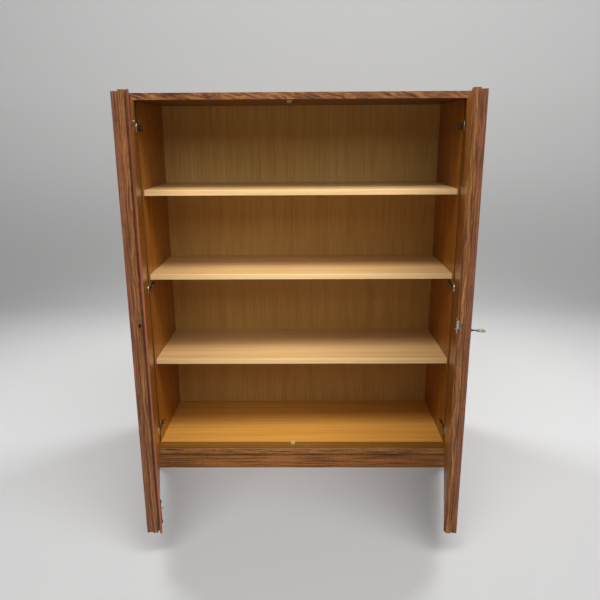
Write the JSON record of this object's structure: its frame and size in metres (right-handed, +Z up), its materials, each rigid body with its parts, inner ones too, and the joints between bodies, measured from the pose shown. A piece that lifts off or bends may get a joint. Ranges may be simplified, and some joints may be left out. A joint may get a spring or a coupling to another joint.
{
  "type": "highboard",
  "caption": "Highboard with wavy dark veneer, full-height hinged doors, blond shelves inside, surface bolts, a lock with its key, and a recessed plinth.",
  "frame": {"origin": "on the floor, in the middle of the carcass, on the underside of the plinth's middle rail", "axes": "+Z up, -Y out of the front, towards which the doors open, +X to the right of someone facing the front"},
  "size_m": [1.1486, 0.9317, 1.34],
  "materials": {
    "wenge_veneer": "satin lacquered dark red-brown veneer",
    "dark_edge": "satin lacquered dark edge",
    "orange_veneer": "lacquered orange-tan veneer",
    "inner_brown": "lacquered orange-brown veneer",
    "back_veneer": "matt light brown veneer",
    "raw_wood": "sawn, untreated",
    "blond_veneer": "satin blond veneer",
    "bright_steel": "bright plated",
    "steel": "dull plated",
    "strip_red": "satin lacquered red-brown",
    "brass": "polished, a little dulled"
  },
  "bodies": {
    "carcass": {"top_panel": "wenge_veneer", "top_front_lipping": "dark_edge", "bottom_panel": "orange_veneer", "bottom_front_strip": "dark_edge", "left_side": "inner_brown", "right_side": "inner_brown", "back_panel": "back_veneer", "plinth_front": "wenge_veneer", "plinth_left": "wenge_veneer", "plinth_right": "wenge_veneer", "plinth_back": "raw_wood", "plinth_middle": "raw_wood", "upper_shelf": "blond_veneer", "upper_shelf_lipping": "blond_veneer", "middle_shelf": "blond_veneer", "middle_shelf_lipping": "blond_veneer", "lower_shelf": "blond_veneer", "lower_shelf_lipping": "blond_veneer", "left_upper_hinge_arm": "steel", "left_upper_hinge_plate": "steel", "left_middle_hinge_arm": "steel", "left_middle_hinge_plate": "steel", "left_lower_hinge_arm": "steel", "left_lower_hinge_plate": "steel", "right_upper_hinge_arm": "steel", "right_upper_hinge_plate": "steel", "right_middle_hinge_arm": "steel", "right_middle_hinge_plate": "steel", "right_lower_hinge_arm": "steel", "right_lower_hinge_plate": "steel", "upper_bolt_keeper": "brass", "lower_bolt_keeper": "brass"},
    "left_door": {"left_door_panel": "inner_brown", "left_door_front": "wenge_veneer", "left_upper_hinge_cup": "bright_steel", "left_upper_hinge_pin": "steel", "left_middle_hinge_cup": "bright_steel", "left_middle_hinge_pin": "steel", "left_lower_hinge_cup": "bright_steel", "left_lower_hinge_pin": "steel", "closing_strip": "strip_red", "upper_bolt_plate": "brass", "lower_bolt_plate": "brass", "lock_strike": "brass"},
    "right_door": {"right_door_panel": "inner_brown", "right_door_front": "wenge_veneer", "right_upper_hinge_cup": "bright_steel", "right_upper_hinge_pin": "steel", "right_middle_hinge_cup": "bright_steel", "right_middle_hinge_pin": "steel", "right_lower_hinge_cup": "bright_steel", "right_lower_hinge_pin": "steel", "lock_case": "steel", "lock_plate": "bright_steel", "keyhole_bush": "brass"},
    "upper_bolt": {"upper_bolt_rod": "brass"},
    "lower_bolt": {"lower_bolt_rod": "brass"},
    "key": {"key": "brass", "lock_cam": "steel"},
    "lock_bolt": {"lock_bolt": "bright_steel"}
  },
  "joints": [
    {"name": "left_door_hinge", "type": "hinge", "parent": "carcass", "child": "left_door", "pos_m": [-0.5475, -0.203, 0.7], "axis": [0, 0, -1], "range_deg": [-76.7, 18.3]},
    {"name": "right_door_hinge", "type": "hinge", "parent": "carcass", "child": "right_door", "pos_m": [0.5475, -0.203, 0.7], "axis": [0, 0, 1], "range_deg": [-77.3, 17.7]},
    {"name": "upper_bolt_slide", "type": "slide", "parent": "left_door", "child": "upper_bolt", "axis": [0, 0, 1], "range_m": [0, 0.008]},
    {"name": "lower_bolt_slide", "type": "slide", "parent": "left_door", "child": "lower_bolt", "axis": [0, 0, -1], "range_m": [0, 0.008]},
    {"name": "key_turn", "type": "hinge", "parent": "right_door", "child": "key", "pos_m": [0.43317, -0.71489, 0.7035], "axis": [0.9755, -0.2198, 0], "range_deg": [0, 90]},
    {"name": "lock_bolt_slide", "type": "slide", "parent": "right_door", "child": "lock_bolt", "axis": [-0.2198, -0.9755, 0], "range_m": [0, 0.008]}
  ],
  "couplings": [
    {"joint": "lock_bolt_slide", "follows": "key_turn", "m_per_rad": 0.0050925}
  ]
}
